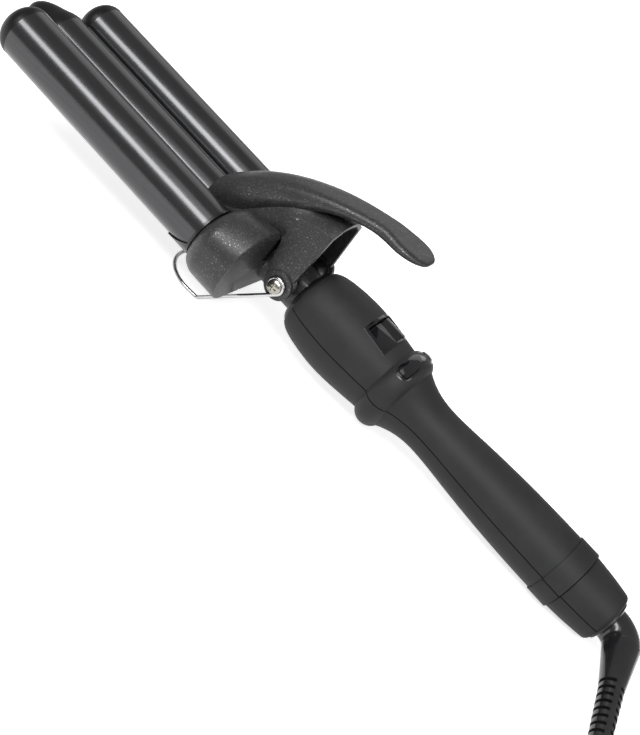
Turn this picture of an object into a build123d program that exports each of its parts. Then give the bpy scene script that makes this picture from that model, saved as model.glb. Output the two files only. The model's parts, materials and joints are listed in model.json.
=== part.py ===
from build123d import *
import os
from math import acos, asin, atan2, cos, degrees, hypot, pi, radians, sin, tan

os.makedirs("parts", exist_ok=True)

# Every size is in millimetres. The tool frame has +X along the barrels to their tips, +Z on the lever's side and
# its origin on the tool's axis under the clamp pivot. The tool stands nose up on the stand wire and on the rear
# band of the handle, so TOOL places that frame over the table, which is the plane z = 0.

# ---------------------------------------------------------------- driving sizes
BARREL_D, BARREL_WALL, BARREL_PITCH, OUTER_Z, CENTRE_Z = 25.0, 1.2, 25.4, 0.8, -3.1
BARREL_REAR_X, BARREL_TIP_X, SEAT_X = 22.0, 158.3, 36.4
TIP_CAP_L, CENTRE_CAP_L, CAP_SPIGOT_L = 10.0, 22.5, 8.0
PIVOT_Z, SHOULDER_R, SHANK_R, FIT = 3.9, 2.6, 1.9, 0.05
EAR_Y, EAR_T, EAR_R = 17.2, 2.0, 6.8
LOBE_R, LOBE_Z, LOBE_REAR_X, LOBE_FRONT_X, LOBE_NOSE_X = 20.3, 4.5, 13.0, 32.0, 35.2
BASE_FLOOR_Z, JAW_GAP_Y = -13.6, 15.0
WIRE_R, WIRE_Y, STAND_X, STAND_Z, BOW_REACH = 0.9, 20.2, 24.9, -30.6, 25.0
HUB_R, NECK_R, HANDLE_FRONT_X, HANDLE_REAR_X = 10.4, 8.5, -10.2, -193.6
WALL, CREST_X, CREST_R = 2.2, -63.8, 20.5
BAND_REAR_X, BAND_FRONT_X, BAND_R = -172.5, -162.9, 15.65
SWITCH_X, SWITCH_L, SWITCH_W, SWITCH_TILT = -45.5, 14.0, 23.0, 8.0
BUTTON_ANGLE, BUTTON_L, BUTTON_W, BUTTON_PROUD = 28.0, 5.2, 9.0, 0.5
CORD_D, PIN_R, PIN_L, PIN_SPACING = 6.6, 2.4, 19.0, 19.0

# ---------------------------------------------------------------- how the tool stands
BARREL_R = BARREL_D / 2
rise = STAND_Z + BAND_R
run = STAND_X - BAND_REAR_X
NOSE_UP = asin(WIRE_R / hypot(run, rise)) + atan2(-rise, run)
MIDDLE_X = -7.2
HEIGHT = -BAND_REAR_X * sin(NOSE_UP) + BAND_R * cos(NOSE_UP)
TOOL = Plane(
    origin=(-MIDDLE_X, 0, HEIGHT),
    x_dir=(cos(NOSE_UP), 0, sin(NOSE_UP)),
    z_dir=(-sin(NOSE_UP), 0, cos(NOSE_UP)),
)
TOOL_AXIS = Axis(TOOL.origin, TOOL.x_dir)


def at(x, y, z):
    """A point of the tool frame, in the row frame."""
    return TOOL.from_local_coords((x, y, z))


def side(y=0):
    """The plane along the tool at y: its own x is the tool's x, its own y is up, and it faces -Y."""
    return Plane(origin=at(0, y, 0), x_dir=TOOL.x_dir, z_dir=(0, -1, 0))


def cross(x):
    """The plane across the tool at x: its own x is the tool's y, its own y is up, and it faces the tips."""
    return Plane(origin=at(x, 0, 0), x_dir=(0, 1, 0), z_dir=TOOL.x_dir)


def level(z):
    """The plane parallel to the barrels at height z, which faces up."""
    return Plane(origin=at(0, 0, z), x_dir=TOOL.x_dir, z_dir=TOOL.z_dir)


def rod(x0, x1, radius, y=0.0, z=0.0, inner=0.0):
    """A round bar or tube along the tool, as a finished shape to add, cut or keep."""
    with BuildPart() as bar:
        with BuildSketch(cross(x0)):
            with Locations((y, z)):
                Circle(radius)
                if inner:
                    Circle(inner, mode=Mode.SUBTRACT)
        extrude(amount=x1 - x0)
    return bar.part


def pin_across(y0, y1, radius, x=0.0, z=PIVOT_Z, inner=0.0):
    """A round bar or tube across the tool, between two y."""
    with BuildPart() as bar:
        with BuildSketch(side(y0)):
            with Locations((x, z)):
                Circle(radius)
                if inner:
                    Circle(inner, mode=Mode.SUBTRACT)
        extrude(amount=y0 - y1)
    return bar.part


def block(x0, x1, y0, y1, z0, z1):
    """A square block of the tool frame."""
    with BuildPart() as box:
        with BuildSketch(level(z0)):
            with Locations(((x0 + x1) / 2, (y0 + y1) / 2)):
                Rectangle(abs(x1 - x0), abs(y1 - y0))
        extrude(amount=z1 - z0)
    return box.part


# ---------------------------------------------------------------- handle shells
HEAD = [(-12.0, 16.7), (-15.0, 17.8), (-22.0, 19.05), (-33.0, 19.85), (-46.0, 19.05)]
GRIP = [(-73.5, 14.9), (-78.0, 13.35), (-85.0, 12.2), (-91.5, 12.1), (-105, 12.95), (-123, 14.15), (-143, 14.9)]
HEAD_START, NOTCH, RING_END = (HANDLE_FRONT_X, 15.5), (-58.2, 17.6), (-70.2, 16.5)
GRIP_END, TAIL_START = (BAND_FRONT_X, 15.05), (BAND_REAR_X, 14.75)
END_PROFILE = [(-180.0, 14.25), (-188.0, 13.4)]
TAIL_CORNER, TAIL_BULGE, TAIL_END = (-191.4, 12.9), (-193.0, 12.2), (HANDLE_REAR_X, 11.0)


def handle_form(inset):
    """The turned outline of the handle, moved inwards by inset."""
    def inner(point):
        return (point[0], point[1] - inset)

    front, rear = HANDLE_FRONT_X - inset, HANDLE_REAR_X + inset
    with BuildPart() as form:
        with BuildSketch(side()):
            with BuildLine():
                Line((front, 0), (front, HEAD_START[1] - inset))
                Spline((front, HEAD_START[1] - inset), *[inner(p) for p in HEAD], inner(NOTCH))
                ThreePointArc(inner(NOTCH), inner((CREST_X, CREST_R)), inner(RING_END))
                Spline(inner(RING_END), *[inner(p) for p in GRIP], inner(GRIP_END))
                Polyline(inner(GRIP_END), inner((BAND_FRONT_X, BAND_R)), inner((BAND_REAR_X, BAND_R)))
                Line(inner((BAND_REAR_X, BAND_R)), inner(TAIL_START))
                Spline(inner(TAIL_START), *[inner(p) for p in END_PROFILE], inner(TAIL_CORNER))
                rear_corner = (rear, TAIL_END[1] - inset)
                ThreePointArc(inner(TAIL_CORNER), (TAIL_BULGE[0] + inset * 0.6, TAIL_BULGE[1] - inset), rear_corner)
                Polyline(rear_corner, (rear, 0), (front, 0))
            make_face()
        revolve(axis=TOOL_AXIS)
    return form.part


def ring_form(proud):
    """The bulged ring behind the switch alone, standing proud of the handle's outline."""
    with BuildPart() as form:
        with BuildSketch(side()):
            with BuildLine():
                Polyline((NOTCH[0], NOTCH[1] + proud), (NOTCH[0], 10), (RING_END[0], 10))
                Line((RING_END[0], 10), (RING_END[0], RING_END[1] + proud))
                ThreePointArc(
                    (RING_END[0], RING_END[1] + proud), (CREST_X, CREST_R + proud), (NOTCH[0], NOTCH[1] + proud)
                )
            make_face()
        revolve(axis=TOOL_AXIS)
    return form.part


OUTSIDE = handle_form(0)
INSIDE = handle_form(WALL)
SLOT_L, SLOT_W, SLOT_FLOOR_Z = 29.6, 7.4, 10.6
SOCKET_R, SOCKET_START_X, RELIEF_R, STEM_R, LIP_R = 10.2, -186.6, 9.0, 5.1, 5.2
NECK_REAR_X, NECK_FRONT_X = -24.0, -5.0
HOUSING_SCREWS = ((-29, 19.7), (-96, 12.3), (-167.7, 15.6))
SCREW_R, SCREW_HEAD_R, BOSS_R, SCREW_SEAT = 1.3, 2.4, 3.8, 5.0


def slot_through(length, width, z0, z1, x=CREST_X):
    """A round-ended block across the ring, for the button slot and its trim."""
    with BuildPart() as form:
        with BuildSketch(level(z0)):
            with Locations((x, 0)):
                SlotOverall(length, width, rotation=90)
        extrude(amount=z1 - z0)
    return form.part


SWITCH_BOX = (SWITCH_X - SWITCH_L / 2, SWITCH_X + SWITCH_L / 2, -SWITCH_W / 2, SWITCH_W / 2)


def post(x, z0, z1, radius):
    """An upright round bar on the tool's middle plane."""
    with BuildPart() as form:
        with BuildSketch(level(z0)):
            with Locations((x, 0)):
                Circle(radius)
        extrude(amount=z1 - z0)
    return form.part


def shell_half(upper):
    """One half of the hollow handle, cut on the parting seam."""
    reach = 30 if upper else -30
    with BuildPart() as half:
        add(OUTSIDE)
        add(INSIDE, mode=Mode.SUBTRACT)
        add(block(-220, 0, -30, 30, 0, reach), mode=Mode.INTERSECT)
        add(rod(-220, SOCKET_START_X, SOCKET_R), mode=Mode.SUBTRACT)
    return half.part


with BuildPart() as handle_upper_shell:
    add(shell_half(True))
    for x, radius in HOUSING_SCREWS:
        add(post(x, 0.0, radius - 1, BOSS_R))
        add(post(x, -0.1, radius - 6, SCREW_R), mode=Mode.SUBTRACT)
    add(rod(-30, 0, HUB_R + 0.1), mode=Mode.SUBTRACT)
    add(block(*SWITCH_BOX, 8, 25), mode=Mode.SUBTRACT)
    add(slot_through(SLOT_L, SLOT_W, SLOT_FLOOR_Z, 25), mode=Mode.SUBTRACT)
handle_upper_shell.part.label = "handle_upper_shell"
export_step(handle_upper_shell.part, "parts/handle_upper_shell.step")

with BuildPart() as handle_lower_shell:
    add(shell_half(False))
    for x, radius in HOUSING_SCREWS:
        add(post(x, 1 - radius, 0.0, BOSS_R))
        add(post(x, -radius - 2, SCREW_SEAT - radius, SCREW_HEAD_R + 0.1), mode=Mode.SUBTRACT)
        add(post(x, -radius, 0.1, SCREW_R), mode=Mode.SUBTRACT)
    add(rod(-30, 0, HUB_R + 0.1), mode=Mode.SUBTRACT)
handle_lower_shell.part.label = "handle_lower_shell"
export_step(handle_lower_shell.part, "parts/handle_lower_shell.step")

with BuildPart() as housing_screws:
    for x, radius in HOUSING_SCREWS:
        add(post(x, SCREW_SEAT - radius - 1.8, SCREW_SEAT - radius, SCREW_HEAD_R))
        add(post(x, SCREW_SEAT - radius, radius - 7, SCREW_R))
        slots = [block(x - 1.6, x + 1.6, -0.3, 0.3, -30, SCREW_SEAT - radius - 0.9)]
        slots.append(block(x - 0.3, x + 0.3, -1.6, 1.6, -30, SCREW_SEAT - radius - 0.9))
        add(slots, mode=Mode.SUBTRACT)
housing_screws.part.label = "housing_screws"
export_step(housing_screws.part, "parts/housing_screws.step")

COLLAR_REAR_X, COLLAR_FRONT_X = HANDLE_FRONT_X + 0.1, -7.6
with BuildPart() as front_collar:
    with BuildSketch(side()):
        with BuildLine():
            Polyline((COLLAR_REAR_X, HUB_R + 0.1), (COLLAR_REAR_X, 14.9))
            ThreePointArc((COLLAR_REAR_X, 14.9), (-8.6, 14.0), (COLLAR_FRONT_X, 12.2))
            Polyline((COLLAR_FRONT_X, 12.2), (COLLAR_FRONT_X, HUB_R + 0.1), (COLLAR_REAR_X, HUB_R + 0.1))
        make_face()
    revolve(axis=TOOL_AXIS)
front_collar.part.label = "front_collar"
export_step(front_collar.part, "parts/front_collar.step")

with BuildPart() as neck_tube:
    add(rod(NECK_REAR_X, NECK_FRONT_X, NECK_R, inner=NECK_R - 1.2))
neck_tube.part.label = "neck_tube"
export_step(neck_tube.part, "parts/neck_tube.step")

# ---------------------------------------------------------------- lower jaw and its barrels
SPIGOT_R, SPIGOT_END_X, LEAD_BORE_R, BULKHEAD_X = BARREL_R - BARREL_WALL, 44.0, 8.4, 18.0
SPACER_R, SPACER_END_Y, SCREW_END_Y, HUB_BORE_R, HUB_REAR_X = 4.2, 9.0, 5.6, 5.0, -9.7


LOBE_BEND_X, COLLAR_T = 26.5, 0.6
LOBE_NOSE = ((29.5, 19.8, 4.3), (32.4, 18.2, 3.5), (34.4, 15.9, 2.2))


def lobe(hand):
    """The round socket housing of one fixed barrel, drawn in to the barrel, flat below and beside the clamp."""
    y = hand * BARREL_PITCH
    with BuildPart() as form:
        add(rod(LOBE_REAR_X, LOBE_BEND_X, LOBE_R, y, LOBE_Z))
        fillet(form.edges().filter_by(GeomType.CIRCLE).sort_by(TOOL_AXIS)[0], 1.0)
        rings = ((LOBE_BEND_X, LOBE_R, LOBE_Z), *LOBE_NOSE, (LOBE_NOSE_X, BARREL_R + COLLAR_T, OUTER_Z))
        for x, radius, z in rings:
            with BuildSketch(cross(x)):
                with Locations((y, z)):
                    Circle(radius)
        loft()
        far = hand * 60
        keep = block(0, 60, hand * JAW_GAP_Y, far, BASE_FLOOR_Z, 40)
        add(keep, mode=Mode.INTERSECT)
    return form.part


with BuildPart() as jaw_base:
    for hand in (1, -1):
        add(lobe(hand))
        add(rod(LOBE_FRONT_X - 1, SPIGOT_END_X, SPIGOT_R, hand * BARREL_PITCH, OUTER_Z))
    add(block(LOBE_REAR_X, BULKHEAD_X, -JAW_GAP_Y - 1, JAW_GAP_Y + 1, BASE_FLOOR_Z, PIVOT_Z))
    add(rod(HUB_REAR_X, LOBE_REAR_X + 1, HUB_R))
    for hand in (1, -1):
        add(rod(LOBE_REAR_X + 3, SPIGOT_END_X + 1, LEAD_BORE_R, hand * BARREL_PITCH, OUTER_Z), mode=Mode.SUBTRACT)
        ends = (SCREW_END_Y, JAW_GAP_Y - 1) if hand > 0 else (1 - JAW_GAP_Y, -SCREW_END_Y)
        add(pin_across(*ends, SHANK_R), mode=Mode.SUBTRACT)
        ends = (SPACER_END_Y, JAW_GAP_Y - 1) if hand > 0 else (1 - JAW_GAP_Y, -SPACER_END_Y)
        add(pin_across(*ends, SPACER_R), mode=Mode.SUBTRACT)
    add(rod(HUB_REAR_X - 2, NECK_FRONT_X, NECK_R), mode=Mode.SUBTRACT)
    add(rod(HUB_REAR_X - 2, LOBE_REAR_X + 3, HUB_BORE_R), mode=Mode.SUBTRACT)
jaw_base.part.label = "jaw_base"
export_step(jaw_base.part, "parts/jaw_base.step")


def tube(y, z):
    """One heated barrel: a thin tube, open at both ends."""
    rear = LOBE_NOSE_X + 0.2 if y else BARREL_REAR_X + 2
    return rod(rear, BARREL_TIP_X, BARREL_R, y, z, BARREL_R - BARREL_WALL)


def tip_cap(y, z, length):
    """The heat-proof end cap of a barrel: short and domed, or long and tapered, with its spigot."""
    start, end = BARREL_TIP_X, BARREL_TIP_X + length
    with BuildPart() as form:
        with BuildSketch(Plane(origin=at(0, y, z), x_dir=TOOL.x_dir, z_dir=(0, -1, 0))):
            with BuildLine():
                Polyline((end, 0), (start - CAP_SPIGOT_L, 0), (start - CAP_SPIGOT_L, SPIGOT_R), (start, SPIGOT_R))
                Polyline((start, SPIGOT_R), (start, BARREL_R), (start + 1, BARREL_R))
                if length > TIP_CAP_L:
                    Spline((start + 1, BARREL_R), *CENTRE_CAP, (end, 0), tangents=((1, -0.1), (0, -1)))
                else:
                    EllipticalCenterArc((start + 1, 0), length - 1, BARREL_R, start_angle=0, arc_size=90)
            make_face()
        revolve(axis=Axis(at(0, y, z), TOOL.x_dir))
    return form.part


def collar(y, z):
    """The sleeve round a fixed barrel's root, with a tongue under the barrel."""
    with BuildPart() as form:
        add(rod(LOBE_NOSE_X + 0.1, 48, BARREL_R + COLLAR_T, y, z, BARREL_R))
        with BuildSketch(side(y - 20)):
            with BuildLine():
                Polyline((SEAT_X, 20), (SEAT_X, -3), (42, -7), (47.5, -9.5), (60, -9.5), (60, 20), close=True)
            make_face()
        extrude(amount=-40, mode=Mode.SUBTRACT)
        add(block(LOBE_FRONT_X - 1, 60, -COLLAR_GAP_Y, COLLAR_GAP_Y, -30, 30), mode=Mode.SUBTRACT)
    return form.part


ELEMENT_X, SPREADER_R, COLLAR_GAP_Y = (50, 146), SPIGOT_R - 0.1, BARREL_R + 0.6
CENTRE_CAP = [(BARREL_TIP_X + 8, 10.5), (BARREL_TIP_X + 15.5, 7.9), (BARREL_TIP_X + 20, 5.2)]
BARRELS = (
    ("left", BARREL_PITCH, OUTER_Z, TIP_CAP_L),
    ("right", -BARREL_PITCH, OUTER_Z, TIP_CAP_L),
    ("centre", 0, CENTRE_Z, CENTRE_CAP_L),
)
for name, y, z, cap in BARRELS:
    with BuildPart() as barrel:
        add(tube(y, z))
    barrel.part.label = "barrel_" + name
    export_step(barrel.part, f"parts/barrel_{name}.step")

    with BuildPart() as cap_part:
        add(tip_cap(y, z, cap))
    cap_part.part.label = "tip_cap_" + name
    export_step(cap_part.part, f"parts/tip_cap_{name}.step")

    with BuildPart() as spreader:
        add(rod(*ELEMENT_X, SPREADER_R, y, z))
        add(block(ELEMENT_X[0] - 1, ELEMENT_X[1] + 1, y - 7.2, y + 7.2, z - 2.4, z + 2.4), mode=Mode.SUBTRACT)
    spreader.part.label = "heat_spreader_" + name
    export_step(spreader.part, f"parts/heat_spreader_{name}.step")

    with BuildPart() as element:
        add(block(*ELEMENT_X, y - 7.1, y + 7.1, z - 2.3, z + 2.3))
    element.part.label = "heating_element_" + name
    export_step(element.part, f"parts/heating_element_{name}.step")

    if y:
        with BuildPart() as sleeve:
            add(collar(y, z))
        sleeve.part.label = "barrel_collar_" + name
        export_step(sleeve.part, f"parts/barrel_collar_{name}.step")

# ---------------------------------------------------------------- pivot
with BuildPart() as pivot_spacers:
    for y0, y1 in ((SPACER_END_Y, EAR_Y - 0.1), (0.1 - EAR_Y, -SPACER_END_Y)):
        add(pin_across(y0, y1, SPACER_R, inner=SHANK_R))
pivot_spacers.part.label = "pivot_spacers"
export_step(pivot_spacers.part, "parts/pivot_spacers.step")

EYE_R, EYE_TURN = SHOULDER_R + FIT + WIRE_R, 318
HEAD_Y, SCREW_HEAD_T, PAN_R = WIRE_Y + WIRE_R + 0.1, 2.0, 4.0
with BuildPart() as pivot_screws:
    for hand in (1, -1):
        across = TOOL.z_dir.cross(Vector(0, hand, 0))
        with BuildSketch(Plane(origin=at(0, 0, PIVOT_Z), x_dir=(0, hand, 0), z_dir=across)):
            with BuildLine():
                Polyline((SCREW_END_Y, 0), (SCREW_END_Y, SHANK_R), (EAR_Y - 0.1, SHANK_R), (EAR_Y - 0.1, SHOULDER_R))
                Polyline((EAR_Y - 0.1, SHOULDER_R), (HEAD_Y, SHOULDER_R), (HEAD_Y, PAN_R), (HEAD_Y + 0.7, PAN_R))
                ThreePointArc((HEAD_Y + 0.7, PAN_R), (HEAD_Y + 1.6, 2.6), (HEAD_Y + SCREW_HEAD_T, 0))
                Line((HEAD_Y + SCREW_HEAD_T, 0), (SCREW_END_Y, 0))
            make_face()
        revolve(axis=Axis(at(0, 0, PIVOT_Z), (0, 1, 0)))
        outer = sorted((hand * (HEAD_Y + 1.0), hand * (HEAD_Y + 4)))
        for long, wide in ((2.4, 0.45), (0.45, 2.4)):
            cross_cut = block(-long, long, *outer, PIVOT_Z - wide, PIVOT_Z + wide)
            add(cross_cut, mode=Mode.SUBTRACT)
pivot_screws.part.label = "pivot_screws"
export_step(pivot_screws.part, "parts/pivot_screws.step")

SPRING_R, SPRING_WIRE_R, SPRING_TURNS, SPRING_START_Y = 5.4, 0.55, 4, 11.6
SPRING_PITCH = 2.1 * SPRING_WIRE_R
with BuildPart() as clamp_spring:
    with BuildLine():
        coil = Helix(
            SPRING_PITCH,
            SPRING_TURNS * SPRING_PITCH,
            SPRING_R,
            center=at(0, SPRING_START_Y, PIVOT_Z),
            direction=(0, 1, 0),
        )
        leg = Line(coil @ 0, coil @ 0 - 9 * (coil % 0))
    with BuildSketch(Plane(origin=leg @ 1, z_dir=coil % 0)):
        Circle(SPRING_WIRE_R)
    sweep(path=[leg, coil], transition=Transition.ROUND)
clamp_spring.part.label = "clamp_spring"
export_step(clamp_spring.part, "parts/clamp_spring.step")

# ---------------------------------------------------------------- clamp: lever, skirts and centre barrel
SKIRT_REAR_X, SKIRT_T, HOOD_X, HOLDER_X = -4.4, 2.0, 54.3, 20.5
CLAMP_SOCKET_R, JAW_FIT, SWING_X, SWING_Y = 13.8, 0.5, 27.5, BARREL_R + 0.1
# Each section: x, crown height, then half width and height of its crown's edge, brow, shoulder and foot.
SECTIONS = (
    (SKIRT_REAR_X, 40.5, (7.8, 38.8), (12.8, 35.2), (17.2, 11.0), (19.2, -6.0)),
    (11.3, 36.6, (8.6, 35.0), (13.4, 30.5), (18.2, 11.0), (19.2, -6.0)),
    (31.5, 29.5, (8.8, 27.5), (11.0, 17.0), (13.6, 9.0), (14.4, -2.0)),
    (HOOD_X, 11.0, (7.0, 9.2), (9.0, 7.6), (11.4, 4.0), (12.4, -2.0)),
)


def hollow_section(section, inset):
    """One section of the clamp moulding, drawn inwards by inset."""
    x, crown, edge, brow, shoulder, foot = section
    with BuildSketch(cross(x)) as drawn:
        with BuildLine():
            corners = [(y - inset, z - 0.6 * inset) for y, z in (edge, brow, shoulder, foot)]
            Polyline(*corners, *[(-y, z) for y, z in reversed(corners)])
            ThreePointArc(corners[0], (0, crown - inset), (-corners[0][0], corners[0][1]))
        make_face()
    return drawn.sketch


def moulding(sections, inset=0.0):
    """The clamp moulding's outer or inner form, lofted along the tool."""
    with BuildPart() as form:
        loft([hollow_section(section, inset).face() for section in sections])
    return form.part


def side_profile(*points, reach=30):
    """A straight-sided outline of the tool's side view, as thick as two reaches."""
    with BuildPart() as form:
        with BuildSketch(side()):
            with BuildLine():
                Polyline(*points, close=True)
            make_face()
        extrude(amount=reach, both=True)
    return form.part


def jaw_clearance():
    """What the clamp moulding has to leave free: the two lobes, the collars and the fixed barrels."""
    with BuildPart() as form:
        for hand in (1, -1):
            y = hand * BARREL_PITCH
            add(rod(LOBE_REAR_X - JAW_FIT, LOBE_FRONT_X + JAW_FIT, LOBE_R + JAW_FIT, y, LOBE_Z))
            add(rod(LOBE_FRONT_X, LOBE_NOSE_X + JAW_FIT, LOBE_R - 1.0, y, LOBE_Z))
            add(rod(LOBE_FRONT_X, 60, BARREL_R + COLLAR_T + 0.9, y, OUTER_Z))
        add(block(0, LOBE_NOSE_X, JAW_FIT - JAW_GAP_Y, JAW_GAP_Y - JAW_FIT, -40, 40), mode=Mode.SUBTRACT)
        for y0, y1 in ((SWING_Y, 30), (-30, -SWING_Y)):
            add(block(SWING_X, 60, y0, y1, -30, PIVOT_Z))
    return form.part


LEVER_TOP = [(HOOD_X, 11.0), (49, 18.9), (43, 25.1), (32.4, 32.6), (23, 37.8), (13, 42.5), (3, 46.1), (-15, 52.1)]
LEVER_TOP_REAR = [(-26, 54.6), (-34, 55.0)]
LEVER_TIP, LEVER_TIP_LOW = (-39.6, 53.9), (-39.3, 52.0)
LEVER_BASE = [(-34, 51.9), (-26, 51.3), (-15, 48.9), (-6, 45.2), (3, 41.4), (13, 36.8), (32, 22.0), (HOOD_X, 7.0)]
LEVER_PLAN = [(43, 9.4), (30, 9.8), (8, 9.2), (-13, 7.8), (-27, 9.8), (-35, 8.8)]
LEVER_PLAN_TIP = -40.0


def lever():
    """The curved thumb lever: its side view and its plan, each extruded, and what the two share."""
    with BuildPart() as form:
        with BuildSketch(side()):
            with BuildLine():
                Spline(*LEVER_TOP, *LEVER_TOP_REAR, LEVER_TIP)
                Spline(LEVER_TIP_LOW, *LEVER_BASE)
                Line(LEVER_TIP, LEVER_TIP_LOW)
                Line(LEVER_BASE[-1], LEVER_TOP[0])
            make_face()
        extrude(amount=20, both=True)
        with BuildSketch(level(0)):
            with BuildLine():
                Spline(*LEVER_PLAN, (LEVER_PLAN_TIP, 0), tangents=((-1, 0), (0, -1)))
                Spline(*[(x, -y) for x, y in LEVER_PLAN], (LEVER_PLAN_TIP, 0), tangents=((-1, 0), (0, 1)))
                Polyline(LEVER_PLAN[0], (HOOD_X, 8.0), (HOOD_X, -8.0), (LEVER_PLAN[0][0], -LEVER_PLAN[0][1]))
            make_face()
        extrude(amount=70, mode=Mode.INTERSECT)
    return form.part


with BuildPart() as clamp_lever:
    add(moulding(SECTIONS))
    outline = side_profile(
        (SKIRT_REAR_X - 1, 60), (SKIRT_REAR_X - 1, PIVOT_Z), (7.4, PIVOT_Z), (11.8, 19), (HOLDER_X, 19),
        (HOLDER_X, -20), (LOBE_FRONT_X - 0.4, -20), (LOBE_FRONT_X - 0.4, 6.6), (60, 6.6), (60, 60),
        reach=EAR_Y + EAR_T,
    )
    add(outline, mode=Mode.INTERSECT)
    add(moulding(SECTIONS[:2], SKIRT_T), mode=Mode.SUBTRACT)
    add(pin_across(-EAR_Y, EAR_Y, EAR_R), mode=Mode.SUBTRACT)
    for y0, y1 in ((EAR_Y, EAR_Y + EAR_T), (-EAR_Y - EAR_T, -EAR_Y)):
        add(pin_across(y0, y1, EAR_R))
    add(lever())
    add(rod(HOLDER_X, LOBE_FRONT_X - 0.4, CLAMP_SOCKET_R, 0, CENTRE_Z))
    add(rod(BARREL_REAR_X + 2, 60, BARREL_R, 0, CENTRE_Z), mode=Mode.SUBTRACT)
    add(rod(HOLDER_X - 1, 30, HUB_BORE_R, 0, CENTRE_Z), mode=Mode.SUBTRACT)
    add(jaw_clearance(), mode=Mode.SUBTRACT)
    add(pin_across(-30, 30, SHOULDER_R + FIT), mode=Mode.SUBTRACT)
clamp_lever.part.label = "clamp_lever"
export_step(clamp_lever.part, "parts/clamp_lever.step")

with BuildPart() as barrel_holder:
    add(rod(BARREL_REAR_X + 2, 46, SPIGOT_R, 0, CENTRE_Z, HUB_BORE_R))
barrel_holder.part.label = "barrel_holder"
export_step(barrel_holder.part, "parts/barrel_holder.step")

# ---------------------------------------------------------------- stand wire
# Each end is bent into an eye round a screw's shoulder and leaves it in a straight leg to the corner of the bow.
corner_reach = hypot(STAND_X, STAND_Z - PIVOT_Z)
corner_angle = degrees(atan2(STAND_Z - PIVOT_Z, STAND_X))
leave_angle = corner_angle - degrees(acos(EYE_R / corner_reach))
corner, bow_front = at(STAND_X, 0, STAND_Z), at(STAND_X, 0, STAND_Z) + Vector(BOW_REACH, 0, 0)
with BuildPart() as stand_wire:
    with BuildLine() as bail:
        for hand in (1, -1):
            with BuildLine(side(hand * WIRE_Y)):
                CenterArc((0, PIVOT_Z), EYE_R, leave_angle - EYE_TURN, EYE_TURN)
        start_x, start_z = (EYE_R * f(radians(leave_angle)) for f in (cos, sin))
        leg = at(start_x, 0, PIVOT_Z + start_z)
        FilletPolyline(
            (leg.X, WIRE_Y, leg.Z),
            (corner.X, WIRE_Y, corner.Z),
            (bow_front.X, WIRE_Y, corner.Z),
            (bow_front.X, -WIRE_Y, corner.Z),
            (corner.X, -WIRE_Y, corner.Z),
            (leg.X, -WIRE_Y, leg.Z),
            radius=[2.5, WIRE_Y - 0.4, WIRE_Y - 0.4, 2.5],
        )
    path = bail.wire()
    with BuildSketch(Plane(origin=path @ 0, z_dir=path % 0)):
        Circle(WIRE_R)
    sweep(path=path)
stand_wire.part.label = "stand_wire"
export_step(stand_wire.part, "parts/stand_wire.step")

# ---------------------------------------------------------------- rocker switch, buttons and board
PROUD = handle_form(-0.25)
BEZEL_WALL, SWITCH_FLOOR_Z, TRUNNION_Z, TRUNNION_R = 1.2, 8.4, 12.5, 1.2
ROCKER_HALF_W, ROCKER_CREASE_Z, ROCKER_WING_Z, ROCKER_SIDE_FIT = 9.5, 16.2, 17.2, 0.3
x0, x1, y0, y1 = SWITCH_BOX
with BuildPart() as switch_bezel:
    add(block(x0, x1, y0, y1, SWITCH_FLOOR_Z, 25))
    add(PROUD, mode=Mode.INTERSECT)
    inner = (x0 + BEZEL_WALL, x1 - BEZEL_WALL, y0 + BEZEL_WALL, y1 - BEZEL_WALL)
    add(block(*inner, SWITCH_FLOOR_Z + 0.8, 25), mode=Mode.SUBTRACT)
    add(rod(x0 - 1, x1 + 1, TRUNNION_R + FIT, 0, TRUNNION_Z), mode=Mode.SUBTRACT)
switch_bezel.part.label = "switch_bezel"
export_step(switch_bezel.part, "parts/switch_bezel.step")

half_length = SWITCH_L / 2 - BEZEL_WALL - ROCKER_SIDE_FIT
with BuildPart() as rocker_switch:
    with BuildSketch(cross(SWITCH_X - half_length)):
        with Locations(Location((0, TRUNNION_Z), -SWITCH_TILT)):
            with BuildLine(mode=Mode.PRIVATE) as shape:
                wing = (ROCKER_HALF_W, ROCKER_WING_Z - TRUNNION_Z)
                Polyline((0, ROCKER_CREASE_Z - TRUNNION_Z), wing, (wing[0], wing[1] - 2.2))
                Polyline((wing[0], wing[1] - 2.2), (4, -2.4), (-4, -2.4), (-wing[0], wing[1] - 2.2))
                Polyline((-wing[0], wing[1] - 2.2), (-wing[0], wing[1]), (0, ROCKER_CREASE_Z - TRUNNION_Z))
            add(make_face(shape.line, mode=Mode.PRIVATE))
    extrude(amount=2 * half_length)
    fillet(rocker_switch.edges().filter_by(TOOL_AXIS).sort_by(Axis.Z)[-5:], 0.4)
    add(rod(x0 + 0.3, x1 - 0.3, TRUNNION_R, 0, TRUNNION_Z))
rocker_switch.part.label = "rocker_switch"
export_step(rocker_switch.part, "parts/rocker_switch.step")


def push_button(hand, grow=0.0):
    """One push button's upright form, square to the ring's surface, as large all round as grow says."""
    lean_x, lean_z = hand * sin(radians(BUTTON_ANGLE)), cos(radians(BUTTON_ANGLE))
    outward = Vector(0, lean_x, 0) + TOOL.z_dir * lean_z
    foot = at(CREST_X, 0, 0) + outward * BUTTON_FOOT_R
    with BuildPart() as form:
        with BuildSketch(Plane(origin=foot, x_dir=TOOL.x_dir, z_dir=outward)):
            RectangleRounded(BUTTON_L + 2 * grow, BUTTON_W + 2 * grow, 1.6 + grow)
        extrude(amount=12)
    return form.part


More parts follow.
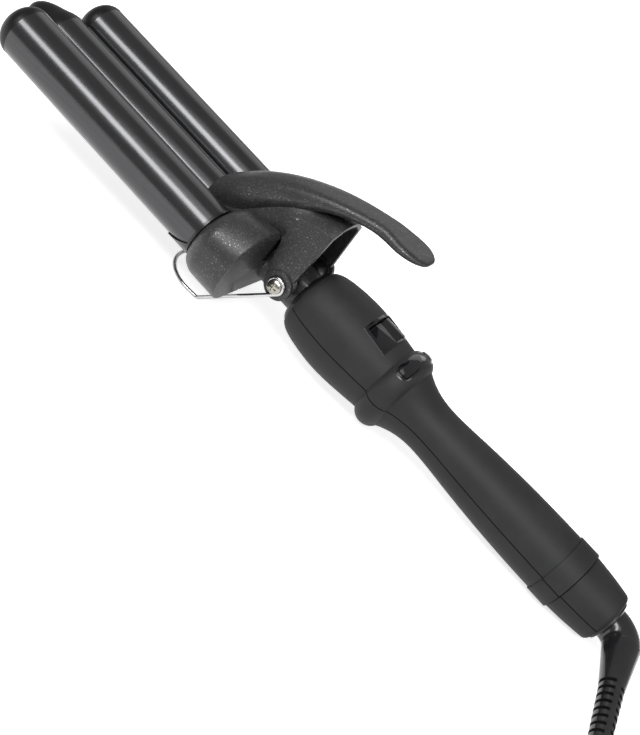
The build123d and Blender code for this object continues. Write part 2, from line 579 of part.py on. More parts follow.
BUTTON_FOOT_R, BUTTON_FIT, LENS_R, TRIM_R = 13.0, 0.25, 1.5, 16.9
with BuildPart() as button_bezel:
    add(slot_through(SLOT_L, SLOT_W, SLOT_FLOOR_Z, 25))
    add(ring_form(0.12), mode=Mode.INTERSECT)
    add(rod(CREST_X - 12, CREST_X + 12, TRIM_R), mode=Mode.SUBTRACT)
    for hand in (1, -1):
        add(push_button(hand, BUTTON_FIT), mode=Mode.SUBTRACT)
    add(post(CREST_X, 10, 25, LENS_R), mode=Mode.SUBTRACT)
button_bezel.part.label = "button_bezel"
export_step(button_bezel.part, "parts/button_bezel.step")

for name, hand in (("plus", 1), ("minus", -1)):
    with BuildPart() as button:
        add(push_button(hand))
        add(ring_form(BUTTON_PROUD), mode=Mode.INTERSECT)
        add(block(-90, -50, -1 if hand > 0 else -30, 30 if hand > 0 else 1, 4, 30), mode=Mode.INTERSECT)
    button.part.label = "button_" + name
    export_step(button.part, f"parts/button_{name}.step")

with BuildPart() as indicator_lens:
    add(post(CREST_X, 16, 25, LENS_R))
    add(ring_form(0.3), mode=Mode.INTERSECT)
indicator_lens.part.label = "indicator_lens"
export_step(indicator_lens.part, "parts/indicator_lens.step")

BOARD_Z, BOARD_T = 3.2, 1.6
with BuildPart() as control_board:
    add(block(-70, -36, -12, 12, BOARD_Z, BOARD_Z + BOARD_T))
    add(block(-58, -41, -9, 9, BOARD_Z - 5.5, BOARD_Z))
    add(rod(-70, -62, 3.0, 5, BOARD_Z - 2.6))
    for y in (6.2, -6.2):
        add(block(CREST_X - 2, CREST_X + 2, y - 2, y + 2, BOARD_Z + BOARD_T, BOARD_Z + BOARD_T + 2.4))
control_board.part.label = "control_board"
export_step(control_board.part, "parts/control_board.step")

# ---------------------------------------------------------------- cord swivel, relief, cord and plug
# The cord's route and its coil are given in the row frame, where the table is z = 0.
SOCKET_END_X, LIP_X, STEM_X, BALL_END_X = -194.6, -188.6, SOCKET_START_X, -180.1
RELIEF_BEND_X, RELIEF_BEND_R, ELBOW_R, RELIEF_RIB_R, RELIEF_TIP_R = -203.5, 9.5, 7.8, 5.1, 4.4
RIB_START, RIB_PITCH, RIB_GAP, RIB_SPINE, RIB_COUNT = 21.0, 1.85, 1.6, 1.2, 16
RELIEF_END, ROUTE_ON = (-208.9, 60.0, 6.9), ((-215.6, 87.5, 3.3), (-219.9, 100.9, 3.3))
COIL_CENTRE, COIL_R, COIL_TURNS_WIDE, COIL_LAYERS = (-267.4, 78.0), 6 * CORD_D, 5, 2
TAIL = ((-304.7, 40.7, 9.9), (-295.4, 31.4, 9.9), (-288.0, 20.0, 10.0))
CORD_R = CORD_D / 2

with BuildPart() as swivel_socket:
    add(rod(SOCKET_END_X, STEM_X, SOCKET_R, inner=RELIEF_R + FIT))
    add(rod(LIP_X, STEM_X, SOCKET_R, inner=LIP_R))
swivel_socket.part.label = "swivel_socket"
export_step(swivel_socket.part, "parts/swivel_socket.step")

with BuildPart() as swivel_ball:
    add(rod(LIP_X - 0.2, STEM_X + 0.2, STEM_R))
    with BuildSketch(side()):
        with BuildLine():
            Polyline((STEM_X + 3, 0), (STEM_X + 0.2, 0), (STEM_X + 0.2, 6.6), (STEM_X + 1.2, 7.6), (STEM_X + 3, 7.6))
            EllipticalCenterArc((STEM_X + 3, 0), BALL_END_X - STEM_X - 3, 7.6, start_angle=0, arc_size=90)
            Line((BALL_END_X, 0), (STEM_X + 3, 0))
        make_face()
    revolve(axis=TOOL_AXIS)
swivel_ball.part.label = "swivel_ball"
export_step(swivel_ball.part, "parts/swivel_ball.step")

relief_start, relief_bend = at(LIP_X - 0.2, 0, 0), at(RELIEF_BEND_X, 0, 0)
relief_end = Vector(*RELIEF_END)
along = (relief_end - relief_bend).normalized()
with BuildPart() as strain_relief:
    with BuildLine() as spine:
        FilletPolyline(relief_start, relief_bend, relief_end, radius=RELIEF_BEND_R)
    neck_part, elbow_part, straight_part = spine.wire().order_edges()
    with BuildSketch(Plane(origin=relief_start, z_dir=relief_bend - relief_start)):
        Circle(ELBOW_R)
    sweep(path=Wire([neck_part, elbow_part]))
    with BuildSketch(side()):
        with BuildLine():
            Polyline((LIP_X - 0.2, 0), (LIP_X - 0.2, RELIEF_R), (SOCKET_END_X, RELIEF_R), (SOCKET_END_X - 1.2, ELBOW_R))
            Polyline((SOCKET_END_X - 1.2, ELBOW_R), (SOCKET_END_X - 1.2, 0), (LIP_X - 0.2, 0))
        make_face()
    revolve(axis=TOOL_AXIS)
    elbow_end = straight_part @ 0
    reach = straight_part.length
    flat = Vector(0, 0, 1).cross(along).normalized()
    with BuildSketch(Plane(origin=elbow_end, x_dir=along, z_dir=flat)):
        with BuildLine():
            Polyline((-3, 0), (-3, 5), (0, ELBOW_R))
            Spline((0, ELBOW_R), (11, 6.5), (RIB_START + 2, RELIEF_RIB_R))
            Polyline((RIB_START + 2, RELIEF_RIB_R), (reach, RELIEF_TIP_R), (reach, 0), (-3, 0))
        make_face()
    revolve(axis=Axis(elbow_end, along))
    for rib in range(RIB_COUNT):
        hand = 1 if rib % 2 else -1
        with BuildSketch(Plane(origin=elbow_end + along * (RIB_START + rib * RIB_PITCH), x_dir=flat, z_dir=along)):
            with Locations((hand * (RIB_SPINE + 5), 0)):
                Rectangle(10, 20)
        extrude(amount=RIB_GAP, mode=Mode.SUBTRACT)
strain_relief.part.label = "strain_relief"
export_step(strain_relief.part, "parts/strain_relief.step")


def route_radii(points):
    """One arc radius for each corner: 0.45 of the shorter run over the tangent of half the turn."""
    radii = []
    for before, here, after in zip(points, points[1:], points[2:]):
        arriving, leaving = Vector(*here) - Vector(*before), Vector(*after) - Vector(*here)
        half_turn = radians(arriving.get_angle(leaving)) / 2
        radii.append(0.45 * min(arriving.length, leaving.length) / tan(half_turn))
    return radii


def cord_tube(points, label):
    """A stretch of cord: straight runs joined by tangent arcs, swept round."""
    radii = route_radii(points)
    with BuildPart() as cord:
        with BuildLine() as route:
            FilletPolyline(*points, radius=radii)
        with BuildSketch(Plane(origin=route.wire() @ 0, z_dir=route.wire() % 0)):
            Circle(CORD_R)
        sweep(path=route.wire())
    length = route.wire().length
    swept = pi * CORD_R**2 * length
    print(label, "radii", [round(r, 1) for r in radii], "length", round(length, 1))
    print(label, "volume", round(cord.part.volume, 1), "section times length", round(swept, 1))
    return cord.part, length


tube_part, run_length = cord_tube((relief_end, relief_end + 13.4 * along, *ROUTE_ON), "cord_run")
with BuildPart() as cord_run:
    add(tube_part)
cord_run.part.label = "cord_run"
export_step(cord_run.part, "parts/cord_run.step")

tube_part, tail_length = cord_tube(TAIL, "cord_tail")
with BuildPart() as cord_tail:
    add(tube_part)
cord_tail.part.label = "cord_tail"
export_step(cord_tail.part, "parts/cord_tail.step")

coil_w, coil_h = COIL_TURNS_WIDE * CORD_D, COIL_LAYERS * CORD_D
with BuildPart() as cord_coil:
    with BuildSketch(Plane.XZ.offset(-COIL_CENTRE[1])):
        with Locations((COIL_CENTRE[0] + COIL_R, coil_h / 2)):
            RectangleRounded(coil_w, coil_h, CORD_R)
    revolve(axis=Axis((*COIL_CENTRE, 0), (0, 0, 1)))
cord_coil.part.label = "cord_coil"
export_step(cord_coil.part, "parts/cord_coil.step")
turns = COIL_TURNS_WIDE * COIL_LAYERS - 0.446
print("cord length", round(run_length + tail_length + turns * 2 * pi * COIL_R, 0))

PLUG_BOOT_L, PLUG_BODY_L, PLUG_W, PLUG_H = 18.0, 30.0, 35.0, 20.0
tail_end = Vector(*TAIL[-1])
plug_way = (tail_end - Vector(*TAIL[-2])).normalized()


def plug_plane(distance):
    """The plane across the plug at a distance from the end of its cord: its own x is level."""
    return Plane(origin=tail_end + plug_way * distance, x_dir=plug_way.cross(Vector(0, 0, 1)), z_dir=plug_way)


with BuildPart() as plug_body:
    with BuildSketch(plug_plane(0)) as boot_end:
        Circle(CORD_R + 0.8)
    with BuildSketch(plug_plane(PLUG_BOOT_L)) as boot_root:
        Circle(6.2)
    loft([boot_end.sketch.face(), boot_root.sketch.face()])
    with BuildSketch(plug_plane(PLUG_BOOT_L)) as neck:
        RectangleRounded(15, 12.4, 6.1)
    with BuildSketch(plug_plane(PLUG_BOOT_L + 14)) as shoulder:
        RectangleRounded(PLUG_W - 2, PLUG_H - 0.6, 9.2)
    loft([neck.sketch.face(), shoulder.sketch.face()])
    with BuildSketch(plug_plane(PLUG_BOOT_L + 14)):
        RectangleRounded(PLUG_W, PLUG_H, 9.5)
    extrude(amount=PLUG_BODY_L - 14)
plug_body.part.label = "plug_body"
export_step(plug_body.part, "parts/plug_body.step")

with BuildPart() as plug_pins:
    with BuildSketch(plug_plane(PLUG_BOOT_L + PLUG_BODY_L)):
        with Locations((PIN_SPACING / 2, 0), (-PIN_SPACING / 2, 0)):
            Circle(PIN_R)
    extrude(amount=PIN_L)
plug_pins.part.label = "plug_pins"
export_step(plug_pins.part, "parts/plug_pins.step")
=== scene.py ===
"""A three-barrel hair waver on its wire stand: finishes, detail, cord, studio and camera."""

import json
import logging
from dataclasses import dataclass
from enum import Enum
from math import cos, pi, radians, sin
from typing import Any, Callable, Optional, Sequence, Union

import bpy
from mathutils import Matrix, Vector

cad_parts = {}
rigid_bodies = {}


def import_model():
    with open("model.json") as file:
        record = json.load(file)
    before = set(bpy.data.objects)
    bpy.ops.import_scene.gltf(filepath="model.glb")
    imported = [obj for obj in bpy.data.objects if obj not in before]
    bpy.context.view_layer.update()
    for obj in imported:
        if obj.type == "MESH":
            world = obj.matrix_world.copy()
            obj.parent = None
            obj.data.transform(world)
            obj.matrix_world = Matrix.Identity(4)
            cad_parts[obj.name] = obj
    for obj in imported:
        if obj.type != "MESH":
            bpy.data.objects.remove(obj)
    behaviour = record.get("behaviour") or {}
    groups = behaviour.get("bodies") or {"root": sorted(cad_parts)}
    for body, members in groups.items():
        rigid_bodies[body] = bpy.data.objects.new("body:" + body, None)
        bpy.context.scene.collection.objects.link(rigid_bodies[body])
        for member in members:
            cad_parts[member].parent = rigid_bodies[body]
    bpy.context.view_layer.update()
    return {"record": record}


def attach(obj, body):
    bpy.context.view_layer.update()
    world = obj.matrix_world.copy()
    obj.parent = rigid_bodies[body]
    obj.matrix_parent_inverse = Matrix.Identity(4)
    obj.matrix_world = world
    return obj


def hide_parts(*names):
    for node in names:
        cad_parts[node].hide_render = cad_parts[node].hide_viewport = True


LOG = logging.getLogger("hair waver")
Point = tuple[float, float, float]
Pair = tuple[float, float]
Wanted = Callable[[Vector], bool]

MM = 0.001
ORIGIN: Point = (0.0, 0.0, 0.0)
WHITE: Point = (1.0, 1.0, 1.0)

# The tool's own axes start below the pivot, with X to the barrel tips. As it lies on its wire
# stand, its nose is up by this tilt. The middle of its length is at this X, its origin is this
# high over the table, and its pivot is this high over the origin, in millimetres.
NOSE_UP = radians(4.5915)
MIDDLE_X = -7.2
HEIGHT = 29.4085
PIVOT_Z = 3.9

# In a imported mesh, points closer than this (metres) are one, and so are faces that turn less
# than this (degrees).
WELD = 0.00001
FLAT_TURN = 0.5

# A rounded edge: its facets, the least turn that counts as an edge, and the greatest turn that is
# shaded smooth.
EDGE_FACETS = 3
EDGE_TURN = 38.0
SMOOTH_TURN = 32.0

# Noise runs from 0 to 1 about its middle, in coarse clouds or in fine grain.
NOISE_MIDDLE = 0.5
NOISE_ROUGHNESS = 0.6
CLOUD_DETAIL = 3.0
GRAIN_DETAIL = 2.0

# Where the colour mix node keeps its share, its two colours and its result.
MIX_SHARE = 0
MIX_FIRST = 6
MIX_SECOND = 7
MIX_RESULT = 2


class Body(Enum):
    """The moving bodies that a piece can ride on."""

    HANDLE = "handle"
    CLAMP = "clamp"
    ROCKER = "rocker"
    CORD_END = "cord_end"


def tool_matrix() -> Matrix:
    """The turn and shift from the tool's own axes, in millimetres, to the row frame, in metres.

    Returns:
        The matrix that carries a mesh drawn along the tool to its place.
    """
    turn = Matrix.Rotation(-NOSE_UP, 4, "Y")
    shift = Matrix.Translation(Vector((-MIDDLE_X * MM, 0.0, HEIGHT * MM)))
    return shift @ turn @ Matrix.Scale(MM, 4)


# ---------------------------------------------------------------- shader expressions
class Signal:
    """A socket that can be used in sums, each of which adds its own Math node."""

    def __init__(self, tree: bpy.types.NodeTree, socket: bpy.types.NodeSocket) -> None:
        """Keeps the tree that the sums are added to.

        Args:
            tree: The material's node tree.
            socket: The output that this stands for.
        """
        self.tree = tree
        self.socket = socket

    def math(self, operation: str, *terms: Union["Signal", float]) -> "Signal":
        """Adds one Math node.

        Args:
            operation: The node's operation.
            terms: What its sockets take, in order.

        Returns:
            The node's result.
        """
        node = self.tree.nodes.new("ShaderNodeMath")
        node.operation = operation
        for socket, term in zip(node.inputs, terms):
            if isinstance(term, Signal):
                self.tree.links.new(term.socket, socket)
            else:
                socket.default_value = term
        return Signal(self.tree, node.outputs[0])

    def __add__(self, other: Union["Signal", float]) -> "Signal":
        """The sum."""
        return self.math("ADD", self, other)

    __radd__ = __add__

    def __mul__(self, other: Union["Signal", float]) -> "Signal":
        """The product."""
        return self.math("MULTIPLY", self, other)

    def __sub__(self, other: Union["Signal", float]) -> "Signal":
        """The difference."""
        return self.math("SUBTRACT", self, other)

    def __rsub__(self, other: float) -> "Signal":
        """The difference from a number."""
        return self.math("SUBTRACT", other, self)

    def __abs__(self) -> "Signal":
        """The size without its sign."""
        return self.math("ABSOLUTE", self)

    def ramp(self, low: float, high: float) -> "Signal":
        """The signal stretched so that low gives 0 and high gives 1, and held to that range.

        Args:
            low: The level that gives 0.
            high: The level that gives 1, which may be the lower of the two.

        Returns:
            The stretched signal.
        """
        node = self.tree.nodes.new("ShaderNodeMapRange")
        node.clamp = True
        node.inputs["From Min"].default_value = low
        node.inputs["From Max"].default_value = high
        self.tree.links.new(self.socket, node.inputs["Value"])
        return Signal(self.tree, node.outputs["Result"])


class Graph:
    """One material's nodes, with the calls that add them."""

    def __init__(self, name: str) -> None:
        """Makes an empty material with its surface shader.

        Args:
            name: The material's name.
        """
        self.material = bpy.data.materials.new(name)
        self.material.use_nodes = True
        self.tree = self.material.node_tree
        self.shader = self.tree.nodes["Principled BSDF"]
        self.place = self.node("ShaderNodeTexCoord").outputs["Object"]

    def node(
        self, kind: str, settings: Optional[dict[str, Any]] = None, **sockets: Any
    ) -> bpy.types.Node:
        """Adds one node, sets it up and fills its sockets.

        Args:
            kind: The node's type.
            settings: Its own settings, which are set first.
            sockets: What its sockets take, by name, with spaces written as underscores.

        Returns:
            The node.
        """
        node = self.tree.nodes.new(kind)
        for name, value in (settings or {}).items():
            setattr(node, name, value)
        for name, value in sockets.items():
            self.feed(node.inputs[name.replace("_", " ")], value)
        return node

    def feed(self, socket: bpy.types.NodeSocket, value: Any) -> None:
        """Gives a socket a value or a link.

        Args:
            socket: The input.
            value: A number, a colour, a socket or a signal.
        """
        if isinstance(value, Signal):
            self.tree.links.new(value.socket, socket)
        elif isinstance(value, bpy.types.NodeSocket):
            self.tree.links.new(value, socket)
        else:
            socket.default_value = value

    def surface(self, **sockets: Any) -> None:
        """Feeds the surface shader's own sockets, by name.

        Args:
            sockets: What each takes, with spaces written as underscores.
        """
        for name, value in sockets.items():
            self.feed(self.shader.inputs[name.replace("_", " ")], value)

    def stretched(self, scale: Sequence[float], turn: float = 0.0) -> bpy.types.NodeSocket:
        """Object coordinates, scaled apart on each axis and turned about Y.

        Args:
            scale: The factor on each axis.
            turn: The turn in radians.

        Returns:
            The coordinates.
        """
        mapping = self.node(
            "ShaderNodeMapping",
            Vector=self.place,
            Scale=scale,
            Rotation=(0.0, turn, 0.0),
        )
        return mapping.outputs["Vector"]

    def noise(
        self,
        scale: float,
        detail: float = CLOUD_DETAIL,
        place: Optional[bpy.types.NodeSocket] = None,
    ) -> Signal:
        """Soft noise, from 0 to 1.

        Args:
            scale: How many patches there are to the metre.
            detail: How many finer layers are added.
            place: The coordinates, or none for the object's own.

        Returns:
            The noise.
        """
        made = self.node(
            "ShaderNodeTexNoise",
            Vector=place or self.place,
            Scale=scale,
            Detail=detail,
            Roughness=NOISE_ROUGHNESS,
        )
        return Signal(self.tree, made.outputs[0])

    def cells(self, scale: float) -> Signal:
        """One random level, from 0 to 1, in each small cell.

        Args:
            scale: How many cells there are to the metre.

        Returns:
            The level.
        """
        made = self.node("ShaderNodeTexVoronoi", Vector=self.place, Scale=scale)
        split = self.node("ShaderNodeSeparateColor", Color=made.outputs["Color"])
        return Signal(self.tree, split.outputs["Red"])

    def axis(self, name: str) -> Signal:
        """One of the object's coordinates, in metres."""
        split = self.node("ShaderNodeSeparateXYZ", Vector=self.place)
        return Signal(self.tree, split.outputs[name])

    def blend(self, share: Signal, first: Any, second: Any) -> bpy.types.NodeSocket:
        """A mix of two colours.

        Args:
            share: How much of the second there is.
            first: A colour or a link.
            second: A colour or a link.

        Returns:
            The mixed colour.
        """
        made = self.node("ShaderNodeMix", {"data_type": "RGBA"})
        self.feed(made.inputs[MIX_SHARE], share)
        self.feed(made.inputs[MIX_FIRST], first)
        self.feed(made.inputs[MIX_SECOND], second)
        return made.outputs[MIX_RESULT]

    def bump(
        self, height: Signal, depth: float, under: Optional[bpy.types.NodeSocket] = None
    ) -> bpy.types.NodeSocket:
        """The surface normal, raised by a height.

        Args:
            height: The relief, from 0 to 1.
            depth: How many metres 1 stands for.
            under: Another bump's normal, which this one is laid on.

        Returns:
            The normal.
        """
        made = self.node("ShaderNodeBump", Height=height, Distance=depth)
        if under:
            self.feed(made.inputs["Normal"], under)
        return made.outputs["Normal"]


def rgba(colour: Sequence[float]) -> tuple[float, float, float, float]:
    """A colour with full alpha."""
    return (colour[0], colour[1], colour[2], 1.0)


# ---------------------------------------------------------------- finishes
@dataclass(frozen=True)
class Finish:
    """A plain moulded, coated or plated surface with a fine grain and a little unevenness."""

    name: str
    colour: Point
    light_colour: Point
    roughness: float
    rough_spread: float = 0.08
    metallic: float = 0.0
    coat: float = 0.0
    grain: float = 2600.0
    grain_depth: float = 0.00002
    cloud: float = 60.0
    specular: float = 0.5
    tint_span: Pair = (0.35, 0.7)
    coat_roughness: float = 0.08
    cloud_part: float = 0.6

    def build(self) -> bpy.types.Material:
        """Makes the material.

        Returns:
            The finished material.
        """
        graph = Graph(self.name)
        self.dress(graph)
        graph.surface(Specular_IOR_Level=self.specular)
        return graph.material

    def tint(self, graph: Graph, pattern: Signal) -> bpy.types.NodeSocket:
        """Mixes the two shades by a pattern.

        Args:
            graph: The new material's nodes.
            pattern: What goes from the darker shade to the lighter one.

        Returns:
            The mixed colour.
        """
        share = pattern.ramp(*self.tint_span)
        return graph.blend(share, rgba(self.colour), rgba(self.light_colour))

    def uneven(self, pattern: Signal) -> Signal:
        """The roughness, spread about its middle by a pattern."""
        return self.roughness + (pattern - NOISE_MIDDLE) * (2 * self.rough_spread)

    def dress(self, graph: Graph) -> None:
        """Fills the material's nodes.

        Args:
            graph: The new material's nodes.
        """
        clouds = graph.noise(self.cloud)
        grain = graph.noise(self.grain, GRAIN_DETAIL)
        graph.surface(
            Base_Color=self.tint(graph, clouds),
            Roughness=self.uneven(clouds * self.cloud_part + grain * (1 - self.cloud_part)),
            Metallic=self.metallic,
            Coat_Weight=self.coat,
            Coat_Roughness=self.coat_roughness,
            Normal=graph.bump(grain, self.grain_depth),
        )


@dataclass(frozen=True)
class SoftTouch(Finish):
    """The handle's rubbery coat, with painted shade along the fine parting seam of its two shells.
    """

    tint_span: Pair = (0.3, 0.7)
    seam: float = 0.22
    seam_span: Pair = (1.5, 0.6)
    seam_depth: float = 0.00006
    # Painted shade: the seam and band lines are coloured near black.
    seam_shade_colour: Point = (0.001, 0.001, 0.001)
    band_x: float = -172.6

    def shade_line(self, distance: Signal) -> Signal:
        """A fine line with soft sides, along which shade is painted.

        Args:
            distance: How far a point is from the line, in metres.

        Returns:
            1 in the line and 0 beside it.
        """
        outside, inside = self.seam_span
        return abs(distance).ramp(self.seam * outside * MM, self.seam * inside * MM)

    def dress(self, graph: Graph) -> None:
        """Fills the nodes, with painted shade along the parting seam and behind the rear band.

        Args:
            graph: The new material's nodes.
        """
        clouds = graph.noise(self.cloud)
        grain = graph.noise(self.grain, GRAIN_DETAIL)
        level = graph.axis("Z") * cos(NOSE_UP) - graph.axis("X") * sin(NOSE_UP)
        along = graph.axis("X") * cos(NOSE_UP) + graph.axis("Z") * sin(NOSE_UP)
        seam_level = (HEIGHT * cos(NOSE_UP) + MIDDLE_X * sin(NOSE_UP)) * MM
        band = (self.band_x - MIDDLE_X * cos(NOSE_UP) + HEIGHT * sin(NOSE_UP)) * MM
        seam = self.shade_line(level - seam_level)
        shade_line = seam.math("MAXIMUM", seam, self.shade_line(along - band))
        fine = graph.bump(grain, self.grain_depth)
        # Painted shade: along the seam and band lines the colour goes near black and the surface
        # turns metallic, so it reflects nothing; the bump there is real relief.
        graph.surface(
            Base_Color=graph.blend(shade_line, self.tint(graph, clouds), rgba(self.seam_shade_colour)),
            Roughness=self.uneven(clouds),
            Metallic=shade_line,
            Normal=graph.bump(1 - shade_line, self.seam_depth, fine),
        )


@dataclass(frozen=True)
class SparkleGrain(Finish):
    """Black glass-filled moulding, with small bright flecks in a pebbled skin."""

    tint_span: Pair = (0.3, 0.7)
    fleck: float = 3200.0
    fleck_share: float = 0.92
    fleck_colour: Point = (0.20, 0.20, 0.20)
    fleck_polish: float = 0.16
    fleck_metal: float = 0.8

    def dress(self, graph: Graph) -> None:
        """Fills the nodes, with the flecks as single cells over a level.

        Args:
            graph: The new material's nodes.
        """
        clouds = graph.noise(self.cloud)
        pebble = graph.noise(self.grain, GRAIN_DETAIL)
        flecks = graph.cells(self.fleck).ramp(self.fleck_share, 1.0)
        graph.surface(
            Base_Color=graph.blend(flecks, self.tint(graph, clouds), rgba(self.fleck_colour)),
            Roughness=self.uneven(clouds) - flecks * self.fleck_polish,
            Metallic=flecks * self.fleck_metal,
            Normal=graph.bump(pebble, self.grain_depth),
        )


@dataclass(frozen=True)
class BarrelCoat(Finish):
    """The barrels' dark satin coat, with faint streaks along the tube."""

    tint_span: Pair = (0.3, 0.75)
    coat_roughness: float = 0.12
    cloud_part: float = 0.5
    streak: float = 900.0
    streak_stretch: Point = (0.02, 1.0, 1.0)

    def dress(self, graph: Graph) -> None:
        """Fills the nodes, with the streaks drawn out along the tube.

        Args:
            graph: The new material's nodes.
        """
        clouds = graph.noise(self.cloud)
        along = graph.stretched(self.streak_stretch, -NOSE_UP)
        streaks = graph.noise(self.streak, CLOUD_DETAIL, along)
        grain = graph.noise(self.grain, GRAIN_DETAIL)
        graph.surface(
            Base_Color=self.tint(graph, streaks),
            Roughness=self.uneven(streaks * (1 - self.cloud_part) + clouds * self.cloud_part),
            Metallic=self.metallic,
            Coat_Weight=self.coat,
            Coat_Roughness=self.coat_roughness,
            Normal=graph.bump(grain, self.grain_depth),
        )


FINISHES: dict[str, Finish] = {
    "grip": SoftTouch(
        "grip coat", (0.018, 0.018, 0.019), (0.024, 0.024, 0.025), 0.55, 0.05,
        grain=3200.0, specular=0.22,
    ),
    "moulding": SparkleGrain(
        "sparkle moulding", (0.019, 0.019, 0.020), (0.029, 0.029, 0.030), 0.38, 0.05,
        grain=1500.0, grain_depth=0.00004, specular=0.42,
    ),
    "barrel": BarrelCoat(
        "barrel coat", (0.062, 0.062, 0.064), (0.078, 0.078, 0.081), 0.23, 0.02,
        metallic=0.9, coat=0.2, grain_depth=0.0000012,
    ),
    "cap": Finish("cap plastic", (0.008, 0.008, 0.009), (0.014, 0.014, 0.015), 0.26, 0.05),
    "tip": Finish(
        "tip plastic", (0.003, 0.003, 0.003), (0.006, 0.006, 0.006), 0.38, 0.05,
        specular=0.28,
    ),
    "relief": Finish(
        "polished relief", (0.010, 0.010, 0.011), (0.016, 0.016, 0.017), 0.2, 0.04,
        coat=0.4,
    ),
    "spreader": Finish(
        "drawn aluminium", (0.60, 0.61, 0.62), (0.72, 0.73, 0.74), 0.35,
        metallic=1.0,
    ),
    "element": Finish(
        "heater wrap", (0.50, 0.48, 0.45), (0.60, 0.58, 0.55), 0.40,
        metallic=1.0,
    ),
    "bright_metal": Finish(
        "bright steel", (0.46, 0.46, 0.45), (0.58, 0.58, 0.57), 0.24,
        metallic=1.0,
    ),
    "dark_steel": Finish(
        "darker steel", (0.10, 0.10, 0.10), (0.16, 0.16, 0.155), 0.38,
        metallic=1.0,
    ),
    "screw": Finish(
        "nickel screw", (0.34, 0.32, 0.28), (0.50, 0.48, 0.43), 0.24,
        metallic=1.0,
    ),
    "wire": Finish(
        "bright wire", (0.50, 0.50, 0.50), (0.66, 0.66, 0.66), 0.16, 0.04,
        metallic=1.0,
    ),
    "gloss_black": Finish(
        "polished black", (0.004, 0.004, 0.005), (0.008, 0.008, 0.009), 0.08, 0.02,
        coat=0.5, grain_depth=0.000002,
    ),
    # Painted sheen: the rocker's flat wedge is a lighter, rougher black than the wings, standing
    # in for the light its flat facet catches.
    "wedge": Finish("satin wedge painted sheen", (0.026, 0.026, 0.028), (0.034, 0.034, 0.036), 0.36),
    "inner_plastic": Finish("inner plastic", (0.010, 0.010, 0.010), (0.018, 0.018, 0.018), 0.45),
    "lens": Finish(
        "smoked lens", (0.05, 0.05, 0.055), (0.10, 0.10, 0.11), 0.06, 0.02,
        coat=1.0, grain_depth=0.000002,
    ),
    "board": Finish("circuit board", (0.03, 0.16, 0.07), (0.06, 0.26, 0.12), 0.40),
    "cord": Finish("cord sheath", (0.008, 0.008, 0.009), (0.015, 0.015, 0.016), 0.34, 0.06),
    "plug": Finish("plug moulding", (0.010, 0.010, 0.011), (0.018, 0.018, 0.019), 0.30, 0.06),
    "brass": Finish(
        "plated pin", (0.62, 0.60, 0.52), (0.76, 0.74, 0.66), 0.22,
        metallic=1.0,
    ),
}

# Nodes that are finished otherwise than their slot says.
OTHER_FINISH: dict[str, str] = {
    # The barrel collars go in the darker cap black, which paints the shadow gap where each barrel
    # enters its lobe.
    "barrel_collar_left": "cap",
    "barrel_collar_right": "cap",
    "front_collar": "cap",
    "tip_cap_left": "tip",
    "tip_cap_right": "tip",
    "tip_cap_centre": "tip",
    "strain_relief": "relief",
    # The clamp spring and the pivot spacers go in a darker steel than the screws.
    "clamp_spring": "dark_steel",
    "pivot_spacers": "dark_steel",
}


class Wardrobe:
    """Every finish, made once and put on by slot name."""

    def __init__(self) -> None:
        """Makes the materials."""
        self.materials = {slot: finish.build() for slot, finish in FINISHES.items()}

    def dress(self, piece: bpy.types.Object, slot: str) -> None:
        """Puts one finish all over a piece.

        Args:
            piece: The object.
            slot: The name of the finish.
        """
        if len(piece.data.materials) == 0:
            piece.data.materials.append(None)
        piece.data.materials[0] = self.materials[slot]
        while len(piece.data.materials) > 1:
            piece.data.materials.pop()

    def dress_nodes(self, record: dict[str, Any]) -> None:
        """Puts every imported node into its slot's finish, or into its own where it has one.

        Args:
            record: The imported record.
        """
        for part in record["subparts"]:
            node = bpy.data.objects[part["node"]]
            slot = OTHER_FINISH.get(part["node"], part["material_slot"])
            self.dress(node, slot)
            LOG.info("node %s in %s", part["node"], slot)


# ---------------------------------------------------------------- modelling helpers
def nothing_selected() -> None:
    """Leaves object mode clean before a new primitive is added."""
    if bpy.context.object and bpy.context.object.mode != "OBJECT":
        bpy.ops.object.mode_set(mode="OBJECT")
    bpy.ops.object.select_all(action="DESELECT")


def only_selected(piece: bpy.types.Object) -> None:
    """Selects one piece, and nothing else, and makes it the active one.

    Args:
        piece: The object.
    """
    nothing_selected()
    piece.select_set(True)
    bpy.context.view_layer.objects.active = piece


def resize(factors: Point, centre: Point = ORIGIN) -> None:
    """Scales what is selected about a point."""
    bpy.ops.transform.resize(value=factors, center_override=centre)


def extrude(shift: Point) -> None:
    """Draws the selected faces out by a shift."""
    bpy.ops.mesh.extrude_region_move(TRANSFORM_OT_translate={"value": shift})


def apply_modifiers(piece: bpy.types.Object) -> None:
    """Applies all of a piece's modifiers.

    Args:
        piece: The object.
    """
    bpy.context.view_layer.objects.active = piece
    for modifier in list(piece.modifiers):
        bpy.ops.object.modifier_apply(modifier=modifier.name)


def place(piece: bpy.types.Object, matrix: Matrix) -> None:
    """Moves a piece's mesh, so that its object stays at the origin.

    Args:
        piece: The object.
        matrix: The move, in the row frame.
    """
    piece.matrix_world = matrix
    only_selected(piece)
    bpy.ops.object.transform_apply(location=True, rotation=True, scale=True)


def select_verts(piece: bpy.types.Object, wanted: Wanted) -> None:
    """Selects a piece's vertices by their place and leaves it in edit mode.

    Args:
        piece: The object.
        wanted: Says whether a vertex at a point is selected.
    """
    only_selected(piece)
    bpy.ops.object.mode_set(mode="EDIT")
    bpy.ops.mesh.select_mode(type="VERT")
    bpy.ops.mesh.select_all(action="DESELECT")
    bpy.ops.object.mode_set(mode="OBJECT")
    for vertex in piece.data.vertices:
        vertex.select = wanted(vertex.co)
    bpy.ops.object.mode_set(mode="EDIT")


